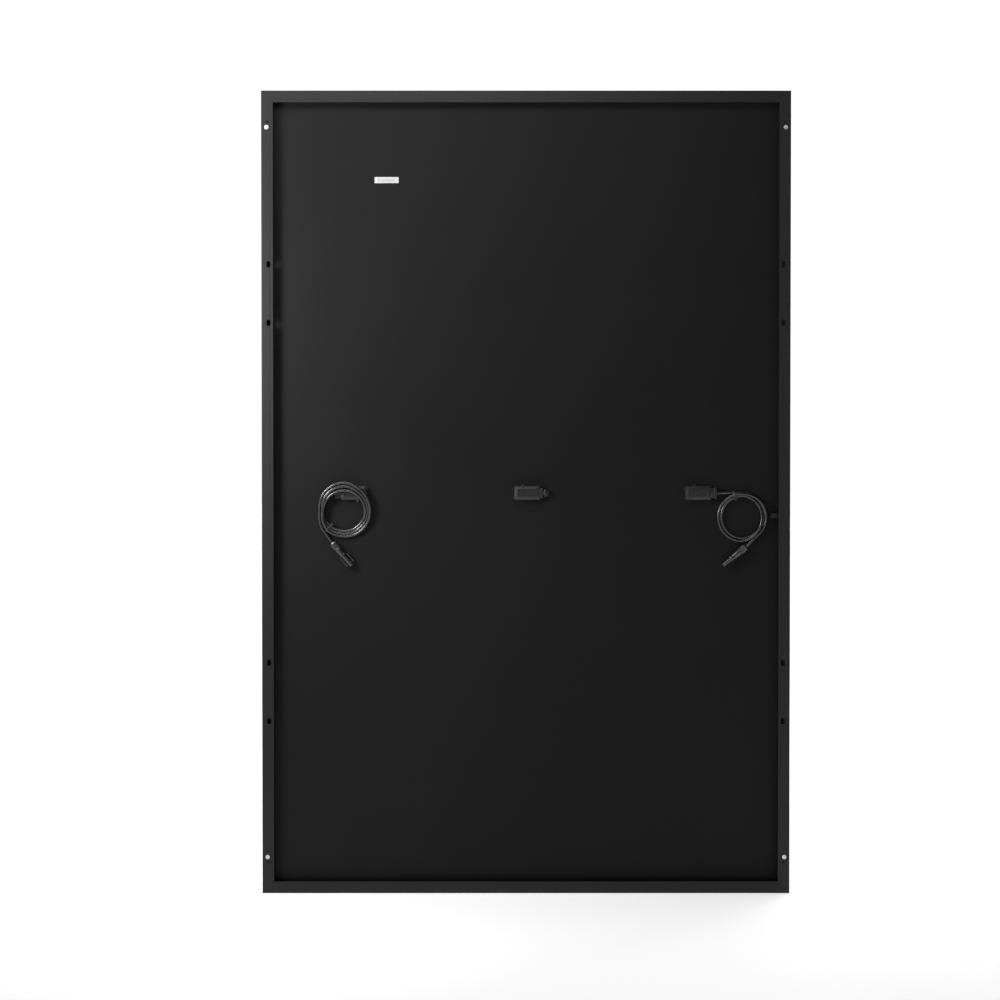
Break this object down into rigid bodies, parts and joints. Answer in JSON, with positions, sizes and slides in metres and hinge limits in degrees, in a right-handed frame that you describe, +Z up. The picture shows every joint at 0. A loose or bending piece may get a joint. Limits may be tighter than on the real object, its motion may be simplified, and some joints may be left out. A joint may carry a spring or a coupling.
{
  "type": "solar panel",
  "caption": "Black framed solar panel with a glass front, half-cut cells, split junction boxes on its back and two coiled leads that end in plug connectors.",
  "frame": {"origin": "centre of the mounting plane, which is the outer face of the rear flanges", "axes": "+X to the right when looking at the back, +Y through the module to the glass, +Z up along the long sides"},
  "size_m": [1.134, 0.0308, 1.722],
  "materials": {
    "frame_black": "black anodised, fine satin, die lines along the extrusion",
    "key_metal": "mill finish, cut edges",
    "seal_silicone": "black silicone, slightly waxy",
    "front_glass": "tempered low-iron glass with an anti-reflective coat",
    "encapsulant": "clear laminated film",
    "cell_silicon": "dark textured silicon with fine metal fingers",
    "ribbon": "tinned copper ribbon, blackened",
    "backsheet_black": "black polymer sheet, faint orange-peel",
    "label": "white polyester label with a plain bar pattern",
    "box_plastic": "black moulded plastic with fine grain",
    "potting": "cast silicone, smooth",
    "contact_metal": "tinned copper",
    "lead_jacket": "black cable jacket, satin",
    "tie_plastic": "grey moulded tie",
    "clip_steel": "dark spring steel"
  },
  "bodies": {
    "panel": {"frame_left": "frame_black", "frame_right": "frame_black", "frame_top": "frame_black", "frame_bottom": "frame_black", "corner_key_top_left": "key_metal", "corner_key_top_right": "key_metal", "corner_key_bottom_left": "key_metal", "corner_key_bottom_right": "key_metal", "edge_seal": "seal_silicone", "front_glass": "front_glass", "front_encapsulant": "encapsulant", "rear_encapsulant": "encapsulant", "backsheet": "backsheet_black", "cell_loop_1_upper": "cell_silicon", "cell_loop_1_lower": "cell_silicon", "cell_loop_2_upper": "cell_silicon", "cell_loop_2_lower": "cell_silicon", "cell_loop_3_upper": "cell_silicon", "cell_loop_3_lower": "cell_silicon", "middle_bus_1": "ribbon", "middle_bus_2": "ribbon", "middle_bus_3": "ribbon", "middle_bus_4": "ribbon", "serial_label": "label", "jbox_left_adhesive": "seal_silicone", "jbox_left_base": "box_plastic", "jbox_left_potting": "potting", "jbox_left_diode": "contact_metal", "jbox_left_lid": "box_plastic", "jbox_middle_adhesive": "seal_silicone", "jbox_middle_base": "box_plastic", "jbox_middle_potting": "potting", "jbox_middle_diode": "contact_metal", "jbox_right_adhesive": "seal_silicone", "jbox_right_base": "box_plastic", "jbox_right_potting": "potting", "jbox_right_diode": "contact_metal", "outlet_cap_left": "box_plastic", "outlet_cap_right": "box_plastic", "blank_plug": "box_plastic", "lead_left_outlet": "lead_jacket", "lead_left_coil": "lead_jacket", "lead_left_tail": "lead_jacket", "lead_right_outlet": "lead_jacket", "lead_right_coil": "lead_jacket", "lead_right_tail": "lead_jacket", "cable_tie_left": "tie_plastic", "cable_tie_right": "tie_plastic", "plug_left_housing": "box_plastic", "plug_left_contact": "contact_metal", "plug_right_housing": "box_plastic", "plug_right_contact": "contact_metal", "frame_clip": "clip_steel"},
    "lid_middle": {"jbox_middle_lid": "box_plastic"},
    "lid_right": {"jbox_right_lid": "box_plastic"},
    "nut_left": {"plug_left_nut": "box_plastic"},
    "nut_right": {"plug_right_nut": "box_plastic"},
    "latch_inner": {"plug_left_latch_inner": "box_plastic"},
    "latch_outer": {"plug_left_latch_outer": "box_plastic"}
  },
  "joints": [
    {"name": "lid_middle_hinge", "type": "hinge", "parent": "panel", "child": "lid_middle", "pos_m": [0.003, 0.0143, -0.01425], "axis": [1, 0, 0], "range_deg": [0, 100]},
    {"name": "lid_right_hinge", "type": "hinge", "parent": "panel", "child": "lid_right", "pos_m": [0.371, 0.0143, -0.01425], "axis": [1, 0, 0], "range_deg": [0, 100]},
    {"name": "nut_left_turn", "type": "hinge", "parent": "panel", "child": "nut_left", "pos_m": [-0.4174, 0.01435, -0.1063], "axis": [-0.6574, 0, 0.7536], "range_deg": [0, 1080]},
    {"name": "nut_right_turn", "type": "hinge", "parent": "panel", "child": "nut_right", "pos_m": [0.4749, 0.01435, -0.1148], "axis": [0.7771, 0, 0.6293], "range_deg": [0, 1080]},
    {"name": "latch_inner_flex", "type": "hinge", "parent": "panel", "child": "latch_inner", "pos_m": [-0.38559, 0.01435, -0.12938], "axis": [0, 1, 0], "range_deg": [0, 4], "stiffness_Nm_per_rad": 3},
    {"name": "latch_outer_flex", "type": "hinge", "parent": "panel", "child": "latch_outer", "pos_m": [-0.39885, 0.01435, -0.14095], "axis": [0, -1, 0], "range_deg": [0, 4], "stiffness_Nm_per_rad": 3}
  ]
}
